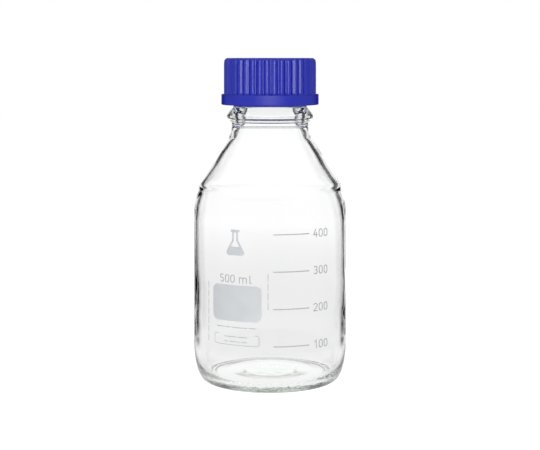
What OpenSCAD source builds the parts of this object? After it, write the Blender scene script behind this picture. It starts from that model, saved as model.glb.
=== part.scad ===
// Screw-neck reagent bottle, 500 ml, with pouring ring and ribbed screw cap.
// +Z is up. The origin is the centre of the standing ring, on the table.
// The front of the print faces -Y. Millimetres and degrees.

/* [Glass body] */
// Outer diameter of the straight body
body_d = 86; // [84:0.5:88]
// Height of the glass from the table to the rim
glass_h = 176; // [175:0.5:178]
// Wall thickness of the straight body
wall_t = 2; // [1.6:0.1:2.4]
// Height where the heel curve meets the straight body
heel_top = 24; // [22:0.5:26]
// Height where the straight body ends and the shoulder begins
barrel_top = 94.5; // [92:0.5:96]
// Outer radius of the flat standing ring
stand_ro = 35.4; // [34.5:0.1:36]
// Inner radius of the flat standing ring
stand_ri = 32; // [31:0.1:33]
// Height of the hollow under the base, at the centre
punt_h = 2.4; // [1.6:0.1:3]
// Thickness of the floor at the centre
floor_t = 4.4; // [3.8:0.1:5.4]

/* [Neck] */
// Radius of the plain neck below the collar
neck_r = 21.75; // [21.4:0.05:22]
// Greatest radius of the collar's edge
collar_r = 24.5; // [24.2:0.1:24.8]
// Height of the collar's edge
collar_z = 148.3; // [147.8:0.1:148.6]
// Radius of the bore through the neck
mouth_r = 14.8; // [14:0.1:15.2]
// Radius of the neck at the bottom of the thread
thread_root_r = 20.95; // [20.8:0.05:21]
// Height of the thread ridge above the neck
thread_h = 1.3; // [1.1:0.05:1.35]
// Rise of the thread in one turn
pitch = 4; // [4:1:4]
// Turns of thread on the glass
glass_turns = 2.25; // [1.75:0.25:2.5]
// Height of the thread's centre where it passes the front of the neck
thread_z = 157.6; // [157.5:0.1:157.9]

/* [Cap] */
// Radius over the grip ribs
grip_r = 26.1; // [26:0.1:26.6]
// How far each rib stands out of the grip
rib_h = 0.85; // [0.5:0.05:0.9]
// Number of grip ribs
ribs = 38; // [30:1:40]
// Radius of the plain band round the foot of the cap
band_r = 27.55; // [27:0.05:28]
// Height of the plain band
band_h = 6; // [5:0.5:7]
// Height of the cap's lower edge above the table
cap_z = 154.6; // [154.4:0.1:154.8]
// Height of the cap from its lower edge to its flat top
cap_h = 26.4; // [26.2:0.1:27]
// Thickness of the cap's top
cap_top_t = 2.2; // [1.8:0.1:2.3]
// Radius of the cap's bore between its threads
cap_bore_r = 22.75; // [22.7:0.05:22.8]
// Turns of thread inside the cap
cap_turns = 2; // [1.5:0.25:2]

/* [Pouring ring] */
// Outer radius of the ring's skirt and of its drip lip
ring_r = 20.9; // [20.8:0.05:21]
// Play between the ring and the glass rim
ring_play = 0.08; // [0.05:0.01:0.1]

/* [Print] */
// How far the fired enamel stands out of the glass
enamel_t = 0.06; // [0.05:0.01:0.1]
// Height of the 100 ml mark
mark_z = 26.4; // [26:0.1:27]
// Rise of the level for each 100 ml
mark_step = 20; // [19.8:0.1:20.2]
// Length of each mark round the body
mark_len = 20.4; // [16:0.2:22]
// Width of each mark's stroke
mark_w = 0.5; // [0.4:0.05:0.8]
// Height of the numbers
digit_h = 4.5; // [3.5:0.1:5]
// Width of the strokes in the numbers
stroke_w = 0.5; // [0.4:0.05:0.6]
// Width of the writing panel round the body
panel_w = 29.8; // [28:0.2:31]
// Height of the writing panel
panel_h = 19.4; // [19:0.1:20]
// Corner radius of the writing panel
panel_corner = 3.2; // [2:0.2:4]

/* [Hidden] */
$fn = 96;
glass_green = [0.86, 0.93, 0.91, 0.45];
cap_blue = [0.16, 0.18, 0.66];
enamel_white = [0.84, 0.86, 0.87];
body_r = body_d / 2;

// ---- profile helpers: profiles are [radius, height] points ----
function unit(v) = v / norm(v);
function reverse(list) = [for (i = [len(list) - 1:-1:0]) list[i]];
// Elliptical arc in the plane, in the given number of steps.
function arc(centre, rx, ry, start, end, steps) =
    [for (i = [0:steps])
        let (a = start + (end - start) * i / steps)
        centre + [rx * cos(a), ry * sin(a)]];
// Points of a fillet of radius r at a corner between two neighbours.
function fillet(before, corner, after, r, steps) =
    r <= 0 ? [corner] :
    let (back = unit(before - corner),
         ahead = unit(after - corner),
         half = acos(back * ahead) / 2,
         centre = corner + unit(back + ahead) * r / sin(half),
         from = corner + back * r / tan(half) - centre,
         to = corner + ahead * r / tan(half) - centre,
         start = atan2(from[1], from[0]),
         sweep = atan2(to[1], to[0]) - start,
         turn = sweep > 180 ? sweep - 360 : sweep < -180 ? sweep + 360 : sweep)
    arc(centre, r, r, start, start + turn, steps);
// A path of [radius, height, fillet] corners, rounded. The ends are kept sharp.
function xy(p) = [p[0], p[1]];
function rounded(path, steps) =
    [for (i = [0:len(path) - 1])
        each (i == 0 || i == len(path) - 1) ? [xy(path[i])]
            : fillet(xy(path[i - 1]), xy(path[i]), xy(path[i + 1]), path[i][2], steps)];
// A squared-off quarter curve from (r_out, z_top) down to (r_in, z_low).
function heel(r_out, r_in, z_top, z_low, squareness, steps) =
    [for (i = [0:steps])
        let (a = 90 * i / steps)
        [r_in + (r_out - r_in) * pow(cos(a), 2 / squareness),
         z_top - (z_top - z_low) * pow(sin(a), 2 / squareness)]];

// ---- threaded tube ----
thread_sides = 45;   // columns of points round the tube
thread_fade = 32;    // angle over which the ridge grows from nothing at each end

// A tube whose face at face_r carries a helical ridge. side +1 puts the ridge outside, -1 inside.
// The other face, at buried_r, lies in the part's wall. The ridge's centre starts at z_start and
// angle a_start. root_w and crest_w are half the ridge's width at its root and crest.
module threaded_tube(face_r, buried_r, ridge_h, root_w, crest_w, z_low, z_high,
                     z_start, a_start, turns, side) {
    end = turns * 360;
    passes = floor(turns) + 1;   // most times that one column can meet the ridge
    top = 6 * passes + 1;        // index of a column's top point on the face
    size = top + 3;              // points in a column
    last = (thread_sides - 1) * size;   // first index of the last column
    // Section of the ridge, from its lower to its upper root: share of height, and offset in z.
    mid_w = 0.55 * (root_w + crest_w);
    rise = [0, 0.6, 1, 1, 0.6, 0];
    offset_z = [-root_w, -mid_w, -crest_w, crest_w, mid_w, root_w];

    function grown(a) = max(0, min(1, min(a, end - a) / thread_fade));
    // Past the ridge's end, spare points are parked on the plain face near the top.
    function column(turned) = concat(
        [[face_r, z_low]],
        [for (k = [0:passes - 1], j = [0:5])
            let (a = turned + 360 * k, scale = grown(a))
            a <= end
                ? [face_r + side * ridge_h * scale * rise[j],
                   z_start + pitch * a / 360 + offset_z[j] * (0.55 + 0.45 * scale)]
                : [face_r, z_high - 1 + 0.15 * j]],
        [[face_r, z_high], [buried_r, z_high], [buried_r, z_low]]);
    function quad(a, b, c, d) = [[a, b, c], [a, c, d]];

    points = [for (i = [0:thread_sides - 1])
        let (turned = i * 360 / thread_sides, a = a_start + turned)
        each [for (p = column(turned)) [p[0] * cos(a), p[0] * sin(a), p[1]]]];
    around = [for (i = [0:thread_sides - 2], j = [0:size - 1])
        let (p = i * size + j, q = i * size + (j + 1) % size)
        each quad(p, q, q + size, p + size)];
    // Over the seam, each pass of the last column meets the next pass of the first.
    seam = [
        for (j = [top:top + 2])
            let (next = (j + 1) % size)
            each quad(last + j, last + next, next, j),
        for (k = [0:passes - 2], j = [1:5])
            let (p = 6 * k + j)
            each quad(last + p, last + p + 1, p + 7, p + 6),
        for (k = [0:1:passes - 3])
            let (p = 6 * k + 6)
            each quad(last + p, last + p + 1, p + 7, p + 6),
        [last, last + 1, for (j = [7:-1:0]) j],
        [top - 1, for (j = [top - 7:top]) last + j, top]];
    faces = [for (f = concat(around, seam))
        side > 0 ? f : [f[0], for (i = [len(f) - 1:-1:1]) f[i]]];
    polyhedron(points = points, faces = faces, convexity = 8);
}

// ---- glass ----
bore_r = body_r - wall_t;
heel_squareness = 2.25;
inner_heel_squareness = 2.5;
inner_heel_top = heel_top + 2.5;
floor_edge = [32, 3.6];              // where the inner heel meets the floor
shoulder_r = 28;                     // radius of the convex shoulder curve
ledge_r = body_r - 2.65;             // radius of the short upright ledge on the shoulder
ledge_a = acos((ledge_r - body_r + shoulder_r) / shoulder_r);   // shoulder's turn up to the ledge
ledge_z = barrel_top + shoulder_r * sin(ledge_a);               // height where it gets there
cone_z = ledge_z + 3.75;             // height where the shoulder cone starts
cone_slope = 0.655;                  // radius lost for each mm of height on the cone
collar_foot_r = neck_r + 0.4;
thread_z0 = collar_z + 5.3;          // lower end of the threaded part of the neck
thread_z1 = glass_h - 8;             // upper end of it
thread_edge_r = thread_root_r + 0.1; // neck just beyond the threaded part
thread_core_r = thread_root_r - 0.45; // neck under the threaded tube
thread_lead = 110;                   // angle of thread before it passes the front
rim_r = 19.6;                        // outside of the rim
bead_r = rim_r + 0.5;                // bead that the pouring ring snaps over
bead_z = glass_h - 4.7;
lip_r = mouth_r + 2.2;               // where the inner and outer walls meet on the rim

function shoulder(a) = [body_r - shoulder_r + shoulder_r * cos(a), barrel_top + shoulder_r * sin(a)];
function under_side() = rounded([
    [0, punt_h, 0],
    [14, punt_h - 0.4, 30],
    [stand_ri - 1.5, 0.45, 3],
    [stand_ri, 0, 0]], 5);
function outer_wall() = concat(
    reverse(heel(body_r, stand_ro, heel_top, 0, heel_squareness, 22)),
    [for (i = [0:7]) shoulder(i / 8 * ledge_a)],
    rounded([
        // ledge and cone
        concat(shoulder(0.97 * ledge_a), 0),
        [ledge_r - 0.05, ledge_z + 0.1, 3.4],
        [ledge_r + 0.02, cone_z, 3.2],
        [neck_r, cone_z + (ledge_r - neck_r) / cone_slope, 15],
        // joint of the moulds
        [neck_r, collar_z - 3.4, 0.25],
        [neck_r + 1.3, collar_z - 2.95, 0.15],
        [collar_foot_r, collar_z - 2.5, 0.2],
        // collar
        [collar_foot_r, collar_z - 1.8, 0.4],
        [collar_r, collar_z - 1.4, 0.9],
        [collar_r + 0.05, collar_z + 0.3, 1.2],
        [thread_root_r + 1.95, collar_z + 2.7, 1.5],
        [thread_edge_r, collar_z + 4.9, 0.9],
        // recess filled by the threaded tube
        [thread_edge_r, thread_z0, 0], [thread_core_r, thread_z0, 0],
        [thread_core_r, thread_z1, 0], [thread_edge_r, thread_z1, 0],
        [thread_edge_r, thread_z1 + 0.4, 0.1],
        // bead and rim
        [rim_r, glass_h - 6.9, 0.6],
        [rim_r, glass_h - 5.6, 0.5],
        [bead_r, bead_z, 0.5],
        [rim_r, glass_h - 3.6, 0.5],
        [rim_r, glass_h, 2.1],
        [lip_r, glass_h, 0]], 6));
function inner_wall() = concat(
    rounded([
        [lip_r, glass_h, 0],
        [mouth_r, glass_h, 1.9],
        [mouth_r, glass_h - 16, 0],
        [mouth_r + 1.3, collar_z - 0.8, 1.2],
        [mouth_r + 4.5, collar_z - 11.5, 14],
        [bore_r - 4.1, ledge_z + 4.2, 5],
        [bore_r, barrel_top + 0.5, 24],
        [bore_r, inner_heel_top, 0]], 7),
    heel(bore_r, floor_edge[0], inner_heel_top, floor_edge[1], inner_heel_squareness, 18),
    rounded([
        concat(floor_edge, 0),
        [24, 4.2, 8],
        [13, punt_h + floor_t - 0.8, 24],
        [0, punt_h + floor_t, 0]], 5));

// Blown bottle: body, shoulder, collar, thread and rim in one piece.
module glass_bottle() {
    color(glass_green) {
        rotate_extrude() polygon(concat(under_side(), outer_wall(), inner_wall()));
        threaded_tube(face_r = thread_root_r, buried_r = 18, ridge_h = thread_h,
            root_w = 1.45, crest_w = 0.42, z_low = thread_z0 - 0.3, z_high = thread_z1 + 0.3,
            z_start = thread_z - pitch * thread_lead / 360, a_start = -90 - thread_lead,
            turns = glass_turns, side = 1);
    }
}

// ---- pouring ring ----
// Soft ring snapped over the rim: skirt outside, seat on top, thin flared drip lip.
module pouring_ring() {
    inner_r = rim_r + ring_play;
    seat_r = mouth_r + 0.5;
    skirt_z = glass_h - 6.6;
    color(cap_blue) rotate_extrude() polygon(rounded([
        // skirt, outside
        [inner_r, skirt_z, 0], [ring_r, skirt_z, 0.4],
        [ring_r, glass_h - 1, 1], [ring_r - 0.55, glass_h + 0.7, 1.5],
        // drip lip
        [ring_r, glass_h + 2.1, 0.1], [ring_r - 0.3, glass_h + 2.25, 0.1],
        // seat
        [19.3, glass_h + 1.1, 1.4], [seat_r, glass_h + 1.0, 0.35],
        [seat_r, glass_h + 0.12, 0.1], [mouth_r + 2.3, glass_h + ring_play, 0.4],
        // skirt, inside, with the groove for the glass bead
        [inner_r, glass_h + ring_play, 2.12], [inner_r, glass_h - 3.4, 0.4],
        [bead_r + ring_play, bead_z, 0.5], [inner_r, glass_h - 5.8, 0.4],
        [inner_r, skirt_z, 0]], 5));
}

// ---- cap ----
cap_top = cap_z + cap_h;
cap_ceiling = cap_top - cap_top_t;
grip_z = cap_z + band_h;             // top of the band, foot of the grip
grip_root_r = grip_r - rib_h;
cap_foot_r = cap_bore_r + 0.6;       // bore at the cap's lower edge
cap_edge_r = cap_bore_r - 0.1;       // bore just beyond the threaded part
cap_recess_r = cap_bore_r + 0.45;    // bore behind the threaded tube
cap_recess_z0 = cap_z + 1;
cap_recess_z1 = cap_ceiling - 1.6;
rib_phase = 86.2;                    // angle of the first rib, round from +X
rib_crest_w = 0.25;                  // half the width of a rib's crest

module cap_shell() {
    rotate_extrude() polygon(rounded([
        // band and grip
        [cap_foot_r, cap_z, 0], [band_r, cap_z, 0.5],
        [band_r, grip_z, 0.5], [grip_root_r, grip_z, 0.3],
        [grip_root_r, cap_top - 1.8, 1.2], [grip_root_r - 0.8, cap_top - 0.1, 0.8],
        // top
        [grip_root_r - 3.6, cap_top, 3], [0, cap_top, 0], [0, cap_ceiling, 0],
        // lip seal that dips into the mouth
        [mouth_r - 1.7, cap_ceiling, 0.6], [mouth_r - 2, glass_h - 1.6, 0.2],
        [mouth_r - 1.1, glass_h - 1.8, 0.3], [mouth_r - 0.25, glass_h + 0.8, 0.4],
        [mouth_r - 0.2, cap_ceiling, 0.4],
        // bead that presses on the pouring ring's seat
        [16.6, cap_ceiling, 0.2], [17, glass_h + 1.08, 0.15],
        [17.8, glass_h + 1.16, 0.15], [18.3, cap_ceiling, 0.2],
        // bore, with the recess filled by the threaded tube
        [cap_edge_r, cap_ceiling, 0.8], [cap_edge_r, cap_recess_z1, 0],
        [cap_recess_r, cap_recess_z1, 0], [cap_recess_r, cap_recess_z0, 0],
        [cap_edge_r, cap_recess_z0, 0], [cap_edge_r, cap_z + 0.6, 0],
        [cap_foot_r, cap_z, 0]], 5));
}
// Wedge-shaped ribs with narrow crests. Their roots are buried in the shell.
module cap_ribs() {
    step = 360 / ribs;
    crest = rib_crest_w / grip_r * 180 / PI;
    wedge = [[grip_r, -crest], [grip_r, crest], [grip_root_r - 0.2, step / 2]];  // [radius, angle]
    intersection() {
        rotate(rib_phase) translate([0, 0, grip_z - 0.3]) linear_extrude(cap_h - band_h + 0.2)
            polygon([for (i = [0:ribs - 1], p = wedge)
                p[0] * [cos(i * step + p[1]), sin(i * step + p[1])]]);
        // Envelope that rounds the ribs off at the top.
        rotate_extrude() polygon(rounded([
            [grip_r - 2, grip_z - 1, 0], [grip_r + 1, grip_z - 1, 0], [grip_r + 1, cap_top - 4, 0],
            [grip_r + 0.02, cap_top - 3.2, 3], [grip_r - 0.25, cap_top - 1.2, 1],
            [grip_r - 1.5, cap_top - 0.08, 0.8], [grip_r - 2, cap_top - 0.15, 0]], 5));
    }
}
// Moulded cap: ribbed grip, plain band, inside thread and lip seal in one piece.
module screw_cap() {
    color(cap_blue) {
        cap_shell();
        cap_ribs();
        // The ridge starts a quarter turn past the front, near half a pitch below the glass ridge.
        threaded_tube(face_r = cap_bore_r, buried_r = cap_bore_r + 1.2, ridge_h = 1.5,
            root_w = 1.2, crest_w = 0.3,
            z_low = cap_recess_z0 - 0.2, z_high = cap_recess_z1 + 0.2,
            z_start = thread_z + pitch * 90 / 360 - pitch * 0.5 + 0.12, a_start = 0,
            turns = cap_turns, side = -1);
    }
}

// ---- enamel print, fused a little way into the outside of the body ----
label_a = -25.95;        // middle of the label; print angles run from the front, + to the right
mark_a = 2.3;            // left end of the level marks
number_a = 39.75;        // middle of the numbers
number_step = 3.65;      // spacing of their digits round the body
capacity_z = 62.15;
capacity_h = 4.3;
capacity_stroke = 0.45;
dash_w = 0.35;           // width of the upright dashes

module enamel_shell() {
    difference() {
        cylinder(r = body_r + enamel_t, h = barrel_top);
        translate([0, 0, -1]) cylinder(r = body_r - 0.03, h = barrel_top + 2);
    }
}
// A flat drawing, centred on an angle and height z, pressed on to the body.
module printed(angle, z) {
    intersection() {
        enamel_shell();
        rotate(angle) translate([0, 0, z]) rotate([90, 0, 0])
            linear_extrude(body_r + 5) children();
    }
}
// Angle that an arc of some length takes on the body, and the chord across it.
function arc_angle(length) = length / body_r * 180 / PI;
function chord(length) = 2 * body_r * sin(arc_angle(length) / 2);
module rounded_rect(w, h, r) {
    square([w - 2 * r, h], center = true);
    square([w, h - 2 * r], center = true);
    for (x = [-1, 1], y = [-1, 1]) translate([x * (w / 2 - r), y * (h / 2 - r)]) circle(r);
}
// Point i of a path moved sideways by some distance, mitred at the corners.
function beside(path, i, distance) =
    let (end = len(path) - 1,
         before = max(i, 1),
         after = min(i + 1, end),
         u = unit(path[before] - path[before - 1]),
         v = unit(path[after] - path[max(after, 1) - 1]),
         mitre = unit([-u[1] - v[1], u[0] + v[0]]))
    path[i] + mitre * distance / max(0.5, mitre * [-u[1], u[0]]);
// A pen stroke of width t along a path.
module stroke(path, t) {
    end = len(path) - 1;
    polygon(concat(
        [for (i = [0:end]) beside(path, i, t / 2)],
        [for (i = [end:-1:0]) beside(path, i, -t / 2)]));
}
// A figure or letter drawn with strokes of width t in a box w wide and h high, centred.
// x and y reach from the centre to the middle of a stroke along the box's edge.
module figure(char, w, h, t) {
    x = w / 2 - t / 2;
    y = h / 2 - t / 2;
    if (char == "0") difference() {
        rounded_rect(w, h, w / 2 - 0.01);
        rounded_rect(w - 2 * t, h - 2 * t, w / 2 - t - 0.01);
    }
    if (char == "1")
        stroke([[-x * 0.5, y - x * 0.75], [x * 0.45, y + t * 0.2], [x * 0.45, -y - t / 2]], t);
    if (char == "2")
        stroke(concat(arc([0, y - x], x, x, 165, -35, 10), [[-x, -y], [x + t / 2, -y]]), t);
    if (char == "3") {
        stroke(arc([0, y * 0.52], x * 0.92, y * 0.48, 150, -95, 12), t);
        stroke(arc([0, -y * 0.48], x, y * 0.52, 95, -150, 12), t);
    }
    if (char == "4") {
        stroke([[x * 0.1, y + t / 2], [-x, -y * 0.42], [x + t / 2, -y * 0.42]], t);
        stroke([[x * 0.5, y * 0.25], [x * 0.5, -y - t / 2]], t);
    }
    if (char == "5")
        stroke(concat([[x * 0.85, y], [-x * 0.85, y], [-x * 0.9, y * 0.1]],
            arc([0, -y * 0.42], x, y * 0.58, 128, -150, 14)), t);
    if (char == "m") {
        stroke([[-x, y * 0.42 + t / 2], [-x, -y - t / 2]], t);
        for (i = [0, 1])
            stroke(concat([[-x + i * x + 0.02, y * 0.05]],
                arc([-x / 2 + i * x, y * 0.1], x / 2, y * 0.32, 150, 0, 8),
                [[i * x, -y - t / 2]]), t);
    }
    if (char == "l")
        stroke(concat([[-x, y + t / 2]], arc([0, -y + x], x, x, 180, 270, 5),
            [[x + t / 2, -y]]), t);
}
// Four level marks, 100 ml apart.
module graduation_marks() {
    color(enamel_white) for (i = [0:3])
        printed(mark_a + arc_angle(mark_len) / 2, mark_z + i * mark_step)
            square([chord(mark_len), mark_w], center = true);
}
// The volume beside each mark: 100, 200, 300 and 400.
module graduation_numbers() {
    color(enamel_white) for (i = [0:3], j = [0:2])
        printed(number_a + arc_angle(number_step * (j - 1)), mark_z + i * mark_step)
            figure(j == 0 ? str(i + 1) : "0", 2.8, digit_h, stroke_w);
}
// Nominal capacity, above the panel.
module capacity_mark() {
    // [character, place along the label, width]
    characters = [
        for (j = [0:2]) ["500"[j], -8.35 + 3.4 * j, 2.65],
        ["m", 4.6, 4.4],
        ["l", 8.9, 1.1]];
    color(enamel_white) for (c = characters)
        printed(label_a + arc_angle(c[1]), capacity_z)
            figure(c[0], c[2], capacity_h, capacity_stroke);
}
// Matt panel to write on.
module writing_panel() {
    color(enamel_white) printed(label_a, 49) rounded_rect(chord(panel_w), panel_h, panel_corner);
}
// Thin outline below the panel, broken at the top.
module code_frame() {
    w = chord(27.5);
    h = 5.8;
    line = 0.25;
    corner = 1.4;
    top_end = 2.6;   // length left of the top edge at each end
    color(enamel_white) printed(label_a, 29.3) difference() {
        rounded_rect(w, h, corner);
        rounded_rect(w - 2 * line, h - 2 * line, corner - line);
        translate([-w / 2 + top_end, 0]) square([w - 2 * top_end, h]);
    }
}
// Plain flask sign above the capacity.
module print_emblem() {
    flask = [[-1.7, 6.4, 0], [-1.7, 1.6, 1.5], [-6.6, -6.6, 1.6],
             [6.6, -6.6, 1.6], [1.7, 1.6, 1.5], [1.7, 6.4, 0]];
    opening = [[-0.7, 5.6, 0], [-0.7, 1.3, 1.6], [-2.55, -1.9, 0],
               [2.55, -1.9, 0], [0.7, 1.3, 1.6], [0.7, 5.6, 0]];
    color(enamel_white) printed(label_a, 81.4) difference() {
        union() {
            translate([0, 6.6]) square([5.2, 1.2], center = true);
            polygon(rounded(flask, 5));
        }
        polygon(rounded(opening, 5));
    }
}
// A level row of dashes, centred on the label.
module dash_row(z, lengths, t) {
    gap = 0.9;
    function start(i) = i == 0 ? 0 : lengths[i - 1] + gap + start(i - 1);
    total = start(len(lengths)) - gap;
    for (i = [0:len(lengths) - 1])
        printed(label_a + arc_angle(start(i) + lengths[i] / 2 - total / 2), z)
            square([chord(lengths[i]), t], center = true);
}
// Upright dashes one above another. z is the middle of the lowest.
module dash_column(angle, z, count, step, length) {
    for (i = [0:count - 1])
        printed(angle, z + i * step) square([dash_w, length], center = true);
}
// Plain dashes in place of small print.
module print_rules() {
    color(enamel_white) {
        dash_row(36, [5.4, 2.6, 9.2, 4], 0.35);
        dash_row(30.9, [7.6, 5.2], 0.3);
        dash_row(28.3, [2.2, 6.4, 3.2], 0.3);
        dash_column(angle = -51, z = 28.5, count = 7, step = 4.8, length = 3.6);
        dash_column(angle = -1.4, z = 48.3, count = 4, step = 5, length = 3.8);
    }
}

glass_bottle();
pouring_ring();
screw_cap();
graduation_marks();
graduation_numbers();
capacity_mark();
writing_panel();
code_frame();
print_emblem();
print_rules();
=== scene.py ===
# Looks of the 500 ml screw-neck bottle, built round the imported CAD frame.
import bpy
import math
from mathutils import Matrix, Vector


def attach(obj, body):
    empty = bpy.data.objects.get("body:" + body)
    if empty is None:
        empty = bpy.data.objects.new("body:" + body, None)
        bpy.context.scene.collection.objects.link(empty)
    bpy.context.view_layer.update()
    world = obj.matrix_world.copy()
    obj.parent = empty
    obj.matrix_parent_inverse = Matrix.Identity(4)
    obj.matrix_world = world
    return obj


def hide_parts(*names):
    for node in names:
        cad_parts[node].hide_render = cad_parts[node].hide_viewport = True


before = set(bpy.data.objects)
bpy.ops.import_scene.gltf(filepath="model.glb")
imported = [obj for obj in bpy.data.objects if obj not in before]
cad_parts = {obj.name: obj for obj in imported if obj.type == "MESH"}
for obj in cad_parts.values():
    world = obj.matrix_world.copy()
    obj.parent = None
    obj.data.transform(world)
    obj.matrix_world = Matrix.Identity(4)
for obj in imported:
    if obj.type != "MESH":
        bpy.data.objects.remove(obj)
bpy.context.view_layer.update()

MM = 0.001
TAU = 2 * math.pi


# ------------------------------------------------------------------ profile helpers (millimetres)
def unit(v):
    n = math.hypot(*v)
    return (v[0] / n, v[1] / n)


def fillet(a, b, c, r, n):
    """Points of a round of radius r at corner b, between a and c."""
    if r <= 0:
        return [b]
    u, w = unit((a[0] - b[0], a[1] - b[1])), unit((c[0] - b[0], c[1] - b[1]))
    dot = max(-1.0, min(1.0, u[0] * w[0] + u[1] * w[1]))
    half = math.acos(dot) / 2
    if half > math.radians(89.5):
        return [b]
    d = r / math.tan(half)
    bis = unit((u[0] + w[0], u[1] + w[1]))
    m = (b[0] + bis[0] * r / math.sin(half), b[1] + bis[1] * r / math.sin(half))
    s = (b[0] + u[0] * d - m[0], b[1] + u[1] * d - m[1])
    e = (b[0] + w[0] * d - m[0], b[1] + w[1] * d - m[1])
    a0, a1 = math.atan2(s[1], s[0]), math.atan2(e[1], e[0])
    da = (a1 - a0 + math.pi) % TAU - math.pi
    return [(m[0] + r * math.cos(a0 + da * i / n), m[1] + r * math.sin(a0 + da * i / n)) for i in range(n + 1)]


def rounded(path, n=8):
    out = []
    for i, p in enumerate(path):
        if i in (0, len(path) - 1):
            out.append((p[0], p[1]))
        else:
            out += fillet(path[i - 1][:2], p[:2], path[i + 1][:2], p[2], n)
    return out


def heel(r_out, r_in, z_top, z_low, n, k):
    out = []
    for i in range(k + 1):
        t = math.pi / 2 * i / k
        # even spacing along the curve: the power law crowds points at its ends
        out.append((r_in + (r_out - r_in) * max(0.0, math.cos(t)) ** (2 / n), z_top - (z_top - z_low) * math.sin(t) ** (2 / n)))
    return out


def resample(path, step, keep=0.35):
    """Adds points on long pieces of a path, and drops points that lie on the one before."""
    out = [path[0]]
    for p in path[1:]:
        a = out[-1]
        d = math.hypot(p[0] - a[0], p[1] - a[1])
        if d < 1e-4:
            continue
        k = max(1, int(math.ceil(d / step)))
        out += [(a[0] + (p[0] - a[0]) * i / k, a[1] + (p[1] - a[1]) * i / k) for i in range(1, k + 1)]
    return out


def smooth(x, lo, hi):
    t = max(0.0, min(1.0, (x - lo) / (hi - lo)))
    return t * t * (3 - 2 * t)


# ------------------------------------------------------------------ mesh helpers
def lathe(name, profile, seg, move=None):
    """Turns a (radius, height) path from axis to axis into a closed mesh. Radius 0 ends become single points.
    move(r, z, angle, i) gives the moved (r, z)."""
    verts, faces, rings = [], [], []
    closed = profile[0][0] > 1e-6
    for i, (r, z) in enumerate(profile):
        if r < 1e-6:
            rings.append([len(verts)])
            verts.append((0, 0, z * MM))
            continue
        ring = []
        for j in range(seg):
            a = TAU * j / seg
            rr, zz = move(r, z, a, i) if move else (r, z)
            ring.append(len(verts))
            verts.append((rr * MM * math.sin(a), -rr * MM * math.cos(a), zz * MM))
        rings.append(ring)
    pairs = list(zip(rings, rings[1:]))
    if closed:
        pairs.append((rings[-1], rings[0]))
    for a, b in pairs:
        for j in range(seg):
            k = (j + 1) % seg
            if len(a) == 1 and len(b) == 1:
                break
            if len(a) == 1:
                faces.append((a[0], b[k], b[j]))
            elif len(b) == 1:
                faces.append((a[j], a[k], b[0]))
            else:
                faces.append((a[j], a[k], b[k], b[j]))
    mesh = bpy.data.meshes.new(name)
    mesh.from_pydata(verts, [], faces)
    mesh.validate()
    mesh.polygons.foreach_set("use_smooth", [True] * len(mesh.polygons))
    mesh.update()
    ob = bpy.data.objects.new(name, mesh)
    bpy.context.scene.collection.objects.link(ob)
    return ob


# ------------------------------------------------------------------ glass
BODY, GLASS_H = 43.0, 176.0
HEEL_TOP, BARREL_TOP = 24.0, 94.5
STAND_RO, STAND_RI = 35.4, 32.0
SHOULDER, LEDGE = 28.0, 40.35
NECK, COLLAR, COLLAR_Z = 21.75, 24.5, 148.3
ROOT, THREAD_H, PITCH = 20.95, 1.3, 4.0
MOUTH = 14.8
a_end = math.acos((LEDGE - BODY + SHOULDER) / SHOULDER)
z_ledge = BARREL_TOP + SHOULDER * math.sin(a_end)
slope = 0.655


def spline(points, k):
    """A smooth curve through the points, with k steps between each two."""
    out = []
    for i in range(len(points) - 1):
        p0 = points[max(0, i - 1)]
        p1, p2 = points[i], points[i + 1]
        p3 = points[min(len(points) - 1, i + 2)]
        for j in range(k):
            t = j / k
            out.append(tuple(0.5 * (2 * p1[c] + (p2[c] - p0[c]) * t + (2 * p0[c] - 5 * p1[c] + 4 * p2[c] - p3[c]) * t * t
                                    + (3 * p1[c] - p0[c] - 3 * p2[c] + p3[c]) * t ** 3) for c in (0, 1)))
    out.append(points[-1])
    return out


under = rounded([(0, 2.4, 0), (14, 2.0, 30), (STAND_RI - 1.5, 0.45, 4), (STAND_RI, 0, 1.2), (STAND_RI + 0.7, 0, 0)], 8)
outer = heel(BODY, STAND_RO, HEEL_TOP, 0, 2.25, 60)[::-1]
outer += [(BODY, BARREL_TOP)]
outer += [(BODY - SHOULDER + SHOULDER * math.cos(a_end * i / 16), BARREL_TOP + SHOULDER * math.sin(a_end * i / 16)) for i in range(1, 16)]
outer += rounded([
    (BODY - SHOULDER + SHOULDER * math.cos(a_end * 0.97), BARREL_TOP + SHOULDER * math.sin(a_end * 0.97), 0),
    (LEDGE - 0.05, z_ledge + 0.1, 3.4), (LEDGE + 0.02, z_ledge + 3.75, 3.2),
    (NECK, z_ledge + 3.75 + (LEDGE - NECK) / slope, 15),
    # the joint between the neck mould and the body mould, then the collar
    (NECK, COLLAR_Z - 3.4, 0.25), (NECK + 1.3, COLLAR_Z - 2.95, 0.15), (NECK + 0.4, COLLAR_Z - 2.5, 0.2), (NECK + 0.4, COLLAR_Z - 1.8, 0.4),
    (COLLAR, COLLAR_Z - 1.4, 0.9), (COLLAR + 0.05, COLLAR_Z + 0.3, 1.2), (ROOT + 1.95, COLLAR_Z + 2.7, 1.5), (ROOT, COLLAR_Z + 5.0, 0.9),
    (ROOT, GLASS_H - 7.9, 0.6), (19.6, GLASS_H - 6.9, 0.6), (19.6, GLASS_H - 5.6, 0.5),
    (20.1, GLASS_H - 4.7, 0.5), (19.6, GLASS_H - 3.6, 0.5), (19.6, GLASS_H, 2.1), (MOUTH + 2.2, GLASS_H, 0)], 10)[1:]
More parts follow.
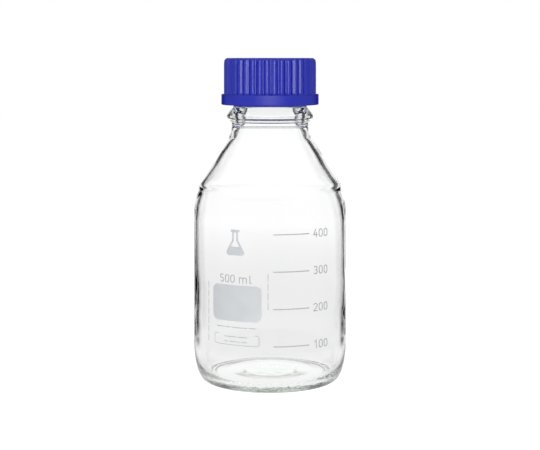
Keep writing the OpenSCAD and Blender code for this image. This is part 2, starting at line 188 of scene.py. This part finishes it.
# the blown inside: thick at the neck, thin on the barrel
inner = rounded([(MOUTH + 2.2, GLASS_H, 0), (MOUTH, GLASS_H, 1.9), (MOUTH, 160, 0), (16.1, 147.5, 1.2), (19.3, 136.8, 14), (25.0, 128.1, 0)], 12)[1:]
inner += spline([(25.0, 128.1), (28.75, 122), (32.5, 116.5), (35.8, 111.6), (37.3, 108.9), (38.1, 105.8), (39.2, 101.5), (40.35, 97),
                 (41.15, 91.5), (41.4, 84), (41.5, 74), (41.45, 64), (41.3, 54), (41.0, 44), (40.7, 36), (40.5, 30), (40.35, 25.5)], 6)[1:]
inner += heel(40.35, 32.0, 25.5, 3.6, 2.6, 50)[1:]
inner += rounded([(32.0, 3.6, 0), (24, 4.2, 8), (13, 6.0, 24), (0, 6.8, 0)], 8)[1:]

n_out = None
outer_path = resample(under + outer, 2.5)
# finer rows where the thread runs
fine = []
for a, b in zip(outer_path, outer_path[1:]):
    fine.append(a)
    if abs(a[0] - ROOT) < 0.05 and abs(b[0] - ROOT) < 0.05:
        k = max(1, int(abs(b[1] - a[1]) / 0.16))
        fine += [(a[0], a[1] + (b[1] - a[1]) * i / k) for i in range(1, k)]
outer_path = fine + [outer_path[-1]]
inner_path = resample(inner, 2.2)
glass_path = outer_path + inner_path
N_OUT = len(outer_path)

Z_FRONT = 157.6
T_START, T_TURNS = -200.0, 2.25
Z_START = Z_FRONT - PITCH * 110 / 360


def ridge(z, front_deg, z_start, start_deg, turns, half, fade=34.0):
    """Height, 0 to 1, of a helical ridge at a point. Angles are the usual ones from +X, in degrees."""
    best = 0.0
    end = turns * 360
    base = (front_deg - start_deg) % 360
    for k in range(int(turns) + 2):
        t = base + 360 * k
        if t > end:
            break
        s = smooth(min(t, end - t), 0, fade)
        if s <= 0:
            continue
        d = abs(z - (z_start + PITCH * t / 360)) / (half * (0.6 + 0.4 * s))
        if d < 1:
            best = max(best, s * (0.5 + 0.5 * math.cos(math.pi * d)) ** 0.62)
    return best


def glass_move(r, z, a, i):
    ang = math.degrees(a) - 90.0            # a = 0 is the front, -Y
    if i < N_OUT:
        if abs(r - ROOT) < 0.06 and COLLAR_Z + 4 < z < GLASS_H - 7.5:
            return r + THREAD_H * ridge(z, ang, Z_START, T_START, T_TURNS, 1.62), z
        return r, z
    # blown inside: the wall is a little uneven, and thicker on the right side of the shoulder
    if 12 < z < 140:
        w = smooth(z, 12, 30) * (1 - smooth(z, 125, 140))
        d = (0.10 * math.sin(a + 0.8 + z * 0.021) + 0.07 * math.sin(2 * a - 1.1 - z * 0.037)
             + 0.05 * math.sin(3 * a + z * 0.06) + 0.03 * math.sin(z * 0.09 + 2 * math.sin(a)))
        right = math.sin(a)
        d -= (0.30 - 0.15 * smooth(z, 112, 128)) * right * smooth(z, 96, 106)
        d += 0.35 * right * smooth(z, 34, 44) * (1 - smooth(z, 50, 62))
        return r + w * d, z
    return r, z


glass = lathe("bottle_glass", glass_path, 320, glass_move)
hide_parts("glass_bottle")
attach(glass, "bottle")

# ------------------------------------------------------------------ pouring ring
PLAY = 0.08
ri = 19.6 + PLAY
ring_path = rounded([
    (ri, GLASS_H - 6.6, 0), (20.9, GLASS_H - 6.6, 0.4), (20.9, GLASS_H - 1, 1), (20.35, GLASS_H + 0.7, 1.5),
    (20.9, GLASS_H + 2.1, 0.1), (20.6, GLASS_H + 2.25, 0.1), (19.3, GLASS_H + 1.1, 1.4), (MOUTH + 0.5, GLASS_H + 1.0, 0.35),
    (MOUTH + 0.5, GLASS_H + 0.12, 0.1), (MOUTH + 2.3, GLASS_H + PLAY, 0.4), (ri, GLASS_H + PLAY, 2.12), (ri, GLASS_H - 3.4, 0.4),
    (20.18, GLASS_H - 4.7, 0.5), (ri, GLASS_H - 5.8, 0.4), (ri, GLASS_H - 6.6, 0)], 6)[:-1]
ring = lathe("pour_ring", ring_path, 192)
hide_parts("pouring_ring")
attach(ring, "ring")

# ------------------------------------------------------------------ screw cap
CAP_Z, CAP_H, BAND_H = 154.6, 26.4, 6.0
TOP = CAP_Z + CAP_H
GRIP, BAND, RIB_H, RIBS = 26.1, 27.55, 1.0, 38
CBORE = 22.75
cap_out = rounded([
    (0, TOP, 0), (18.6, TOP, 0.5), (19.0, TOP - 0.25, 0.4), (21.6, TOP - 0.25, 0.4), (22.0, TOP, 0.4), (GRIP - 1.5, TOP, 1.0), (GRIP - 0.25, TOP - 1.2, 1.0),
    (GRIP, TOP - 3.2, 3), (GRIP, CAP_Z + BAND_H, 0.0), (BAND, CAP_Z + BAND_H, 0.35), (BAND, CAP_Z, 0.55), (CBORE + 0.75, CAP_Z, 0.2)], 7)
cap_in = rounded([
    (CBORE + 0.75, CAP_Z, 0), (CBORE, CAP_Z + 1, 0.4), (CBORE, TOP - 3.4, 0.6), (CBORE - 0.2, TOP - 2.2, 0.8),
    (18.3, TOP - 2.2, 0.2), (17.8, GLASS_H + 1.16, 0.15), (17.0, GLASS_H + 1.08, 0.15), (16.6, TOP - 2.2, 0.2),
    (MOUTH - 0.2, TOP - 2.2, 0.4), (MOUTH - 0.25, 176.8, 0.4), (MOUTH - 1.1, 174.2, 0.3), (MOUTH - 2, 174.4, 0.2), (MOUTH - 1.7, TOP - 2.2, 0.6),
    (0, TOP - 2.2, 0)], 5)[1:]
cap_path = []
full = resample(cap_out, 1.6)
N_CAP_OUT = len(full)
full += resample(cap_in, 1.6)
for a, b in zip(full, full[1:]):
    cap_path.append(a)
    if abs(a[0] - CBORE) < 0.01 and abs(b[0] - CBORE) < 0.01:
        k = max(1, int(abs(b[1] - a[1]) / 0.2))
        cap_path += [(a[0], a[1] + (b[1] - a[1]) * i / k) for i in range(1, k)]
cap_path.append(full[-1])
# outward normals of the outer path
norms = []
for i in range(N_CAP_OUT):
    p, q = cap_path[max(0, i - 1)], cap_path[min(N_CAP_OUT - 1, i + 1)]
    t = unit((q[0] - p[0], q[1] - p[1]))
    norms.append((-t[1], t[0]))
CAP_ZS = Z_FRONT + PITCH * 90 / 360 - PITCH * 0.5 + 0.12


def groove(a):
    """Depth, 0 to 1, of the grooves between the ribs: round crests, slightly narrower bottoms."""
    x = ((math.degrees(a) + 3.8) / (360 / RIBS)) % 1.0
    x = 1 - abs(x - 0.5) * 2                  # 0 on a crest, 1 in the bottom of a groove
    return 0.5 - 0.5 * math.cos(math.pi * x ** 1.3)


def cap_move(r, z, a, i):
    if i < N_CAP_OUT:
        if r > 23.2 and z > CAP_Z + BAND_H - 0.01 and not (r > GRIP + 0.05):
            g = groove(a) * (1 - smooth(z, TOP - 1.6, TOP + 0.4))
            if g > 0:
                return r - RIB_H * g, z - 0.25 * g * smooth(z, TOP - 3, TOP - 1)
        return r, z
    if abs(r - CBORE) < 0.01:
        return r - 1.5 * ridge(z, math.degrees(a) - 90.0, CAP_ZS, 0.0, 2.0, 1.36), z
    return r, z


cap = lathe("cap_shell", cap_path[::-1], RIBS * 24, lambda r, z, a, i: cap_move(r, z, a, len(cap_path) - 1 - i))
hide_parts("screw_cap")
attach(cap, "cap")


# ------------------------------------------------------------------ materials
def material(name):
    m = bpy.data.materials.new(name)
    m.use_nodes = True
    nt = m.node_tree
    nt.nodes.clear()
    return m, nt


def node(nt, kind, **values):
    n = nt.nodes.new(kind)
    for k, v in values.items():
        if k in n.inputs:
            n.inputs[k].default_value = v
        else:
            setattr(n, k, v)
    return n


def link(nt, a, b):
    nt.links.new(a, b)


def setin(n, name, v):
    n.inputs[name].default_value = v


def mathn(nt, op, x, y=None, clamp=False):
    n = node(nt, "ShaderNodeMath", operation=op)
    n.use_clamp = clamp
    for i, v in enumerate((x, y)):
        if v is None:
            continue
        if isinstance(v, (int, float)):
            n.inputs[i].default_value = v
        else:
            link(nt, v, n.inputs[i])
    return n.outputs[0]


def maprange(nt, value, a0, a1, b0, b1):
    n = node(nt, "ShaderNodeMapRange", interpolation_type="SMOOTHSTEP")
    for k, v in (("From Min", a0), ("From Max", a1), ("To Min", b0), ("To Max", b1)):
        setin(n, k, v)
    link(nt, value, n.inputs["Value"])
    return n.outputs["Result"]


# glass: clear borosilicate, very slightly green through its thickness
m_glass, nt = material("clear_glass")
out = node(nt, "ShaderNodeOutputMaterial")
bsdf = node(nt, "ShaderNodeBsdfPrincipled")
setin(bsdf, "Base Color", (1, 1, 1, 1))
setin(bsdf, "Roughness", 0.0)
setin(bsdf, "IOR", 1.473)
setin(bsdf, "Transmission Weight", 1.0)
coord = node(nt, "ShaderNodeTexCoord")
wave = node(nt, "ShaderNodeTexNoise")
setin(wave, "Scale", 28.0)
setin(wave, "Detail", 1.5)
link(nt, coord.outputs["Object"], wave.inputs["Vector"])
bump = node(nt, "ShaderNodeBump")
setin(bump, "Strength", 0.05)
setin(bump, "Distance", 0.002)
link(nt, wave.outputs["Fac"], bump.inputs["Height"])
link(nt, bump.outputs["Normal"], bsdf.inputs["Normal"])
# stippling on the outside of the foot
foot = node(nt, "ShaderNodeSeparateXYZ")
link(nt, coord.outputs["Object"], foot.inputs[0])
stretch = node(nt, "ShaderNodeVectorMath", operation="MULTIPLY")
stretch.inputs[1].default_value = (1.0, 1.0, 2.6)
link(nt, coord.outputs["Object"], stretch.inputs[0])
stipple = node(nt, "ShaderNodeTexNoise")
setin(stipple, "Scale", 520.0)
setin(stipple, "Detail", 1.0)
link(nt, stretch.outputs[0], stipple.inputs["Vector"])
rough_foot = node(nt, "ShaderNodeBump")
setin(rough_foot, "Distance", 0.0006)
ring_r = mathn(nt, "SQRT", mathn(nt, "ADD", mathn(nt, "MULTIPLY", foot.outputs["X"], foot.outputs["X"]),
                                 mathn(nt, "MULTIPLY", foot.outputs["Y"], foot.outputs["Y"])))
link(nt, mathn(nt, "MULTIPLY", maprange(nt, foot.outputs["Z"], 0.002, 0.0085, 0.55, 0.0), maprange(nt, ring_r, 0.0315, 0.0335, 0.0, 1.0)),
     rough_foot.inputs["Strength"])
link(nt, stipple.outputs["Fac"], rough_foot.inputs["Height"])
link(nt, rough_foot.outputs["Normal"], bump.inputs["Normal"])
path = node(nt, "ShaderNodeLightPath")
clear = node(nt, "ShaderNodeBsdfTransparent")
setin(clear, "Color", (0.93, 0.95, 0.94, 1))
mix = node(nt, "ShaderNodeMixShader")
either = node(nt, "ShaderNodeMath", operation="MAXIMUM")
link(nt, path.outputs["Is Shadow Ray"], either.inputs[0])
link(nt, path.outputs["Is Diffuse Ray"], either.inputs[1])
link(nt, either.outputs[0], mix.inputs["Fac"])
link(nt, bsdf.outputs[0], mix.inputs[1])
link(nt, clear.outputs[0], mix.inputs[2])
link(nt, mix.outputs[0], out.inputs["Surface"])
absorb = node(nt, "ShaderNodeVolumeAbsorption")
setin(absorb, "Color", (0.82, 0.93, 0.84, 1))
setin(absorb, "Density", 12.0)
link(nt, absorb.outputs[0], out.inputs["Volume"])
glass.data.materials.append(m_glass)


def plastic(name, colour, rough, grain, matt_below=None, matt=0.0, level=0.4):
    """Moulded plastic. Below the height matt_below (metres, on the piece) it is as rough as matt."""
    m, nt = material(name)
    out = node(nt, "ShaderNodeOutputMaterial")
    b = node(nt, "ShaderNodeBsdfPrincipled")
    link(nt, b.outputs[0], out.inputs["Surface"])
    coord = node(nt, "ShaderNodeTexCoord")
    # slow drift of the colour, as in moulded polypropylene
    drift = node(nt, "ShaderNodeTexNoise")
    setin(drift, "Scale", 60.0)
    setin(drift, "Detail", 4.0)
    link(nt, coord.outputs["Object"], drift.inputs["Vector"])
    ramp = node(nt, "ShaderNodeMix", data_type="RGBA")
    lo = [c * 0.92 for c in colour]
    hi = [min(1, c * 1.08) for c in colour]
    ramp.inputs["A"].default_value = (*lo, 1)
    ramp.inputs["B"].default_value = (*hi, 1)
    for k in ("A", "B"):
        for s in ramp.inputs:
            if s.name == k and s.type == "RGBA":
                s.default_value = (*(lo if k == "A" else hi), 1)
    link(nt, drift.outputs["Fac"], ramp.inputs["Factor"])
    # wear: the edges of the ribs are rubbed a little paler
    geo = node(nt, "ShaderNodeNewGeometry")
    edge = node(nt, "ShaderNodeMapRange")
    setin(edge, "From Min", 0.52)
    setin(edge, "From Max", 0.62)
    link(nt, geo.outputs["Pointiness"], edge.inputs["Value"])
    rub = node(nt, "ShaderNodeTexNoise")
    setin(rub, "Scale", 420.0)
    setin(rub, "Detail", 3.0)
    link(nt, coord.outputs["Object"], rub.inputs["Vector"])
    amount = node(nt, "ShaderNodeMath", operation="MULTIPLY")
    link(nt, edge.outputs[0], amount.inputs[0])
    link(nt, rub.outputs["Fac"], amount.inputs[1])
    share = node(nt, "ShaderNodeMath", operation="MULTIPLY")
    link(nt, amount.outputs[0], share.inputs[0])
    share.inputs[1].default_value = 0.35
    pale = node(nt, "ShaderNodeMix", data_type="RGBA")
    link(nt, share.outputs[0], pale.inputs["Factor"])
    rgba = [s for s in pale.inputs if s.type == "RGBA"]
    link(nt, [o for o in ramp.outputs if o.type == "RGBA"][0], rgba[0])
    rgba[1].default_value = (*[min(1, c * 1.6 + 0.05) for c in colour], 1)
    link(nt, [o for o in pale.outputs if o.type == "RGBA"][0], b.inputs["Base Color"])
    # fine eroded-mould grain, and the roughness that goes with it
    g = node(nt, "ShaderNodeTexNoise")
    setin(g, "Scale", 2600.0)
    setin(g, "Detail", 2.0)
    link(nt, coord.outputs["Object"], g.inputs["Vector"])
    rr = node(nt, "ShaderNodeMapRange")
    setin(rr, "To Min", rough - 0.05)
    setin(rr, "To Max", rough + 0.07)
    link(nt, drift.outputs["Fac"], rr.inputs["Value"])
    rough_out = rr.outputs[0]
    if matt_below:
        where = node(nt, "ShaderNodeSeparateXYZ")
        link(nt, coord.outputs["Object"], where.inputs[0])
        low = maprange(nt, where.outputs["Z"], matt_below - 0.0001, matt_below + 0.0001, matt - rough, 0.0)
        rough_out = mathn(nt, "ADD", rough_out, low)
    link(nt, rough_out, b.inputs["Roughness"])
    bp = node(nt, "ShaderNodeBump")
    setin(bp, "Strength", grain)
    setin(bp, "Distance", 0.0002)
    link(nt, g.outputs["Fac"], bp.inputs["Height"])
    link(nt, bp.outputs["Normal"], b.inputs["Normal"])
    setin(b, "IOR", 1.49)
    # matt from the side, where the fine grain hides its own shine
    side = node(nt, "ShaderNodeLayerWeight")
    setin(side, "Blend", 0.5)
    shine = node(nt, "ShaderNodeMapRange")
    for k, v in (("From Min", 0.25), ("From Max", 0.7), ("To Min", level), ("To Max", 0.02)):
        setin(shine, k, v)
    link(nt, side.outputs["Facing"], shine.inputs["Value"])
    link(nt, shine.outputs[0], b.inputs["Specular IOR Level"])
    setin(b, "Subsurface Weight", 0.12)
    setin(b, "Subsurface Radius", (0.2, 0.25, 1.0))
    setin(b, "Subsurface Scale", 0.0012)
    return m


cap.data.materials.append(plastic("blue_cap_moulding", (0.008, 0.018, 0.46), 0.19, 0.12, (CAP_Z + BAND_H + 0.05) * MM, 0.44, 0.55))
ring.data.materials.append(plastic("blue_ring_moulding", (0.035, 0.055, 0.42), 0.36, 0.2))

# enamel: fired matt print, faintly mottled, a little thin at places
def enamel(name, k):
    """Fired matt print; k scales its brightness, as thin strokes are printed a little denser."""
    m, nt = material(name)
    out = node(nt, "ShaderNodeOutputMaterial")
    b = node(nt, "ShaderNodeBsdfPrincipled")
    coord = node(nt, "ShaderNodeTexCoord")
    mot = node(nt, "ShaderNodeTexNoise")
    setin(mot, "Scale", 90.0)
    setin(mot, "Detail", 5.0)
    link(nt, coord.outputs["Object"], mot.inputs["Vector"])
    mesh_grain = node(nt, "ShaderNodeTexNoise")
    setin(mesh_grain, "Scale", 1500.0)
    setin(mesh_grain, "Detail", 2.0)
    link(nt, coord.outputs["Object"], mesh_grain.inputs["Vector"])
    cr = node(nt, "ShaderNodeMix", data_type="RGBA")
    rg = [s for s in cr.inputs if s.type == "RGBA"]
    rg[0].default_value = (0.738 * k, 0.768 * k, 0.800 * k, 1)
    rg[1].default_value = (0.855 * k, 0.885 * k, 0.905 * k, 1)
    link(nt, mot.outputs["Fac"], cr.inputs["Factor"])
    link(nt, [o for o in cr.outputs if o.type == "RGBA"][0], b.inputs["Base Color"])
    setin(b, "Roughness", 0.62)
    bp = node(nt, "ShaderNodeBump")
    setin(bp, "Strength", 0.3)
    setin(bp, "Distance", 0.0001)
    link(nt, mesh_grain.outputs["Fac"], bp.inputs["Height"])
    link(nt, bp.outputs["Normal"], b.inputs["Normal"])
    thin = node(nt, "ShaderNodeBsdfTranslucent")
    link(nt, [o for o in cr.outputs if o.type == "RGBA"][0], thin.inputs["Color"])
    through = node(nt, "ShaderNodeMixShader")
    setin(through, "Fac", 0.15)
    link(nt, b.outputs[0], through.inputs[1])
    link(nt, thin.outputs[0], through.inputs[2])
    link(nt, through.outputs[0], out.inputs["Surface"])
    return m


m_en, m_fine = enamel("fired_enamel", 1.0), enamel("fired_enamel_fine", 0.68)
for name in ("graduation_marks", "graduation_numbers", "capacity_mark", "writing_panel", "code_frame", "print_emblem", "print_rules"):
    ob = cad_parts[name]
    ob.data.materials.clear()
    ob.data.materials.append(m_en if name in ("writing_panel", "print_emblem") else m_fine)


# ------------------------------------------------------------------ studio
# Brightness round the object, by the angle to the side of the view axis: white behind it, a dark card at each side, then softer
# light round to the camera.
WALLS = [(0.0, 1.0), (22.0, 1.0), (26.0, 0.02), (41.0, 0.02), (49.0, 0.74), (60.0, 0.78), (75.0, 0.55), (110.0, 0.5), (180.0, 0.42)]
TABLE = [(0.0, 1.0), (22.0, 1.0), (26.0, 0.02), (41.0, 0.02), (49.0, 0.74), (60.0, 0.78), (75.0, 0.55), (110.0, 0.5), (180.0, 0.42)]


def surround(nt, vector_out, flip, cards):
    """Returns the brightness in a direction, and how far the direction points up as the camera sees it."""
    tr = node(nt, "ShaderNodeVectorTransform", vector_type="VECTOR", convert_from="WORLD", convert_to="CAMERA")
    if flip:
        neg = node(nt, "ShaderNodeVectorMath", operation="SCALE")
        setin(neg, "Scale", -1.0)
        link(nt, vector_out, neg.inputs[0])
        vector_out = neg.outputs[0]
    link(nt, vector_out, tr.inputs[0])
    nrm = node(nt, "ShaderNodeVectorMath", operation="NORMALIZE")
    link(nt, tr.outputs[0], nrm.inputs[0])
    sep = node(nt, "ShaderNodeSeparateXYZ")
    link(nt, nrm.outputs[0], sep.inputs[0])
    deg = mathn(nt, "MULTIPLY", mathn(nt, "ARCTAN2", mathn(nt, "ABSOLUTE", sep.outputs["X"]), sep.outputs["Z"]), 180 / math.pi)
    ramp = node(nt, "ShaderNodeValToRGB")
    link(nt, mathn(nt, "DIVIDE", deg, 180.0), ramp.inputs["Fac"])
    els = ramp.color_ramp.elements
    els[0].position, els[0].color = 0.0, (1, 1, 1, 1)
    els[1].position, els[1].color = 1.0, (cards[-1][1],) * 3 + (1,)
    for p, v in cards[1:-1]:
        e = els.new(p / 180)
        e.color = (v, v, v, 1)
    return ramp.outputs["Color"], sep.outputs["Y"]


def blend(nt, fac, x, y):
    """x where fac is 0, y where it is 1, for single values."""
    return mathn(nt, "ADD", mathn(nt, "MULTIPLY", x, mathn(nt, "SUBTRACT", 1.0, fac)), mathn(nt, "MULTIPLY", y, fac))


scene = bpy.context.scene
world = bpy.data.worlds.new("studio")
scene.world = world
world.use_nodes = True
nt = world.node_tree
nt.nodes.clear()
wout = node(nt, "ShaderNodeOutputWorld")
tc = node(nt, "ShaderNodeTexCoord")
side, up = surround(nt, tc.outputs["Generated"], False, WALLS)
# the cards end well above the bottle, under a white ceiling; straight ahead there is no card to end
high = maprange(nt, mathn(nt, "ABSOLUTE", up), 0.42, 0.7, 0.0, 1.0)
level = blend(nt, high, side, 0.8)
bg = node(nt, "ShaderNodeBackground")
link(nt, level, bg.inputs["Color"])
white = node(nt, "ShaderNodeBackground")
setin(white, "Color", (1, 1, 1, 1))
lp = node(nt, "ShaderNodeLightPath")
mx = node(nt, "ShaderNodeMixShader")
link(nt, lp.outputs["Is Camera Ray"], mx.inputs["Fac"])
dim = maprange(nt, lp.outputs["Is Diffuse Ray"], 0.0, 1.0, 1.0, 0.4)
link(nt, mathn(nt, "MULTIPLY", dim, 1.08), bg.inputs["Strength"])
link(nt, bg.outputs[0], mx.inputs[1])
link(nt, white.outputs[0], mx.inputs[2])
link(nt, mx.outputs[0], wout.inputs["Surface"])

# floor: a wide pale sheet. Seen in the glass it is not lit paper but glows with painted light: white round the bottle,
# standing in for the light that comes through the glass, a little darker close to the bottle as a painted soft shadow;
# farther out the cards stand on it
size = 3.0
mesh = bpy.data.meshes.new("floor_sheet")
mesh.from_pydata([(-size, -size, 0), (size, -size, 0), (size, size, 0), (-size, size, 0)], [], [(0, 1, 2, 3)])
floor = bpy.data.objects.new("floor_sheet", mesh)
scene.collection.objects.link(floor)
floor.location = (0, 0, -0.0002)
m_floor, nt = material("floor_paper_painted_glow")
out = node(nt, "ShaderNodeOutputMaterial")
geo = node(nt, "ShaderNodeNewGeometry")
side, up = surround(nt, geo.outputs["Incoming"], True, TABLE)
flat = node(nt, "ShaderNodeVectorMath", operation="MULTIPLY")
flat.inputs[1].default_value = (1, 1, 0)
link(nt, geo.outputs["Position"], flat.inputs[0])
dist = node(nt, "ShaderNodeVectorMath", operation="LENGTH")
link(nt, flat.outputs[0], dist.inputs[0])
# painted light: inside this distance the sheet glows plain white in the glass
outside_painted_glow = maprange(nt, dist.outputs["Value"], 0.085, 0.14, 0.0, 1.0)
# painted shadow: the glow is darker close to the bottle and brighter far out
painted_floor_shade = maprange(nt, dist.outputs["Value"], 0.06, 1.0, 0.90, 1.08)
# the glow seen in the glass: painted light and painted shadow, not lamp light on the sheet
floor_painted_glow = node(nt, "ShaderNodeEmission")
link(nt, mathn(nt, "MULTIPLY", blend(nt, outside_painted_glow, 1.0, side), painted_floor_shade), floor_painted_glow.inputs["Color"])
# seen directly: paper
diff = node(nt, "ShaderNodeBsdfDiffuse")
setin(diff, "Color", (0.9, 0.9, 0.9, 1))
glow = node(nt, "ShaderNodeEmission")
setin(glow, "Color", (1, 1, 1, 1))
setin(glow, "Strength", 0.72)
add = node(nt, "ShaderNodeAddShader")
link(nt, diff.outputs[0], add.inputs[0])
link(nt, glow.outputs[0], add.inputs[1])
lp = node(nt, "ShaderNodeLightPath")
mx = node(nt, "ShaderNodeMixShader")
link(nt, lp.outputs["Is Camera Ray"], mx.inputs["Fac"])
link(nt, floor_painted_glow.outputs[0], mx.inputs[1])
link(nt, add.outputs[0], mx.inputs[2])
# from below the sheet is not there
below = node(nt, "ShaderNodeMixShader")
none = node(nt, "ShaderNodeBsdfTransparent")
link(nt, mathn(nt, "MULTIPLY", geo.outputs["Backfacing"], lp.outputs["Is Camera Ray"]), below.inputs["Fac"])
link(nt, mx.outputs[0], below.inputs[1])
link(nt, none.outputs[0], below.inputs[2])
link(nt, below.outputs[0], out.inputs["Surface"])
floor.data.materials.append(m_floor)

# The lamps light only what isn't glass, so that the clear wall mirrors the plain room and no lamp.
lit = bpy.data.collections.new("lit_by_lamps")
for ob in [cap, ring, floor] + [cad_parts[n] for n in (
        "graduation_marks", "graduation_numbers", "capacity_mark", "writing_panel", "code_frame", "print_emblem", "print_rules")]:
    lit.objects.link(ob)


def area(name, loc, target, sx, sy, power):
    data = bpy.data.lights.new(name, "AREA")
    data.shape = "RECTANGLE"
    data.size, data.size_y = sx, sy
    data.energy = power
    ob = bpy.data.objects.new(name, data)
    scene.collection.objects.link(ob)
    ob.location = loc
    d = Vector(target) - Vector(loc)
    ob.rotation_euler = d.to_track_quat("-Z", "Y").to_euler()
    ob.visible_camera = False
    ob.visible_transmission = False
    ob.light_linking.receiver_collection = lit
    return ob


area("softbox_front", (0.0, -1.1, 0.35), (0, 0, 0.12), 0.8, 0.8, 7.5)
area("strip_left", (-0.95, -0.45, 0.35), (0, 0, 0.12), 0.22, 0.9, 0.6)
area("strip_right", (0.95, -0.45, 0.35), (0, 0, 0.12), 0.22, 0.9, 0.3)

# ------------------------------------------------------------------ camera
# A view camera: its back stays upright, and the lens is dropped to frame the bottle. The drop belongs to this one place, so a
# driver takes it away when the camera is moved.
CAM_Y, CAM_Z = -0.7675, 0.1825
cam_data = bpy.data.cameras.new("camera")
cam_data.sensor_width = 36.0
cam_data.lens = 90.3
cam_data.clip_start, cam_data.clip_end = 0.01, 20
cam = bpy.data.objects.new("camera", cam_data)
scene.collection.objects.link(cam)
cam.location = (0.0, CAM_Y, CAM_Z)
cam.rotation_euler = (math.radians(90), 0, 0)
scene.camera = cam
drop = cam_data.driver_add("shift_y").driver
drop.type = "SCRIPTED"
for var, channel in (("y", "LOC_Y"), ("z", "LOC_Z")):
    v = drop.variables.new()
    v.name, v.type = var, "TRANSFORMS"
    v.targets[0].id = cam
    v.targets[0].transform_type = channel
    v.targets[0].transform_space = "WORLD_SPACE"
drop.expression = "-0.3143 if abs(y + 0.7675) + abs(z - 0.1825) < 0.0005 else 0.0"

scene.view_settings.view_transform = "Standard"
scene.view_settings.look = "None"
scene.cycles.max_bounces = 24
scene.cycles.transmission_bounces = 20
scene.cycles.glossy_bounces = 8
scene.cycles.transparent_max_bounces = 24
scene.cycles.use_denoising = True
scene.cycles.caustics_refractive = False
scene.cycles.caustics_reflective = False
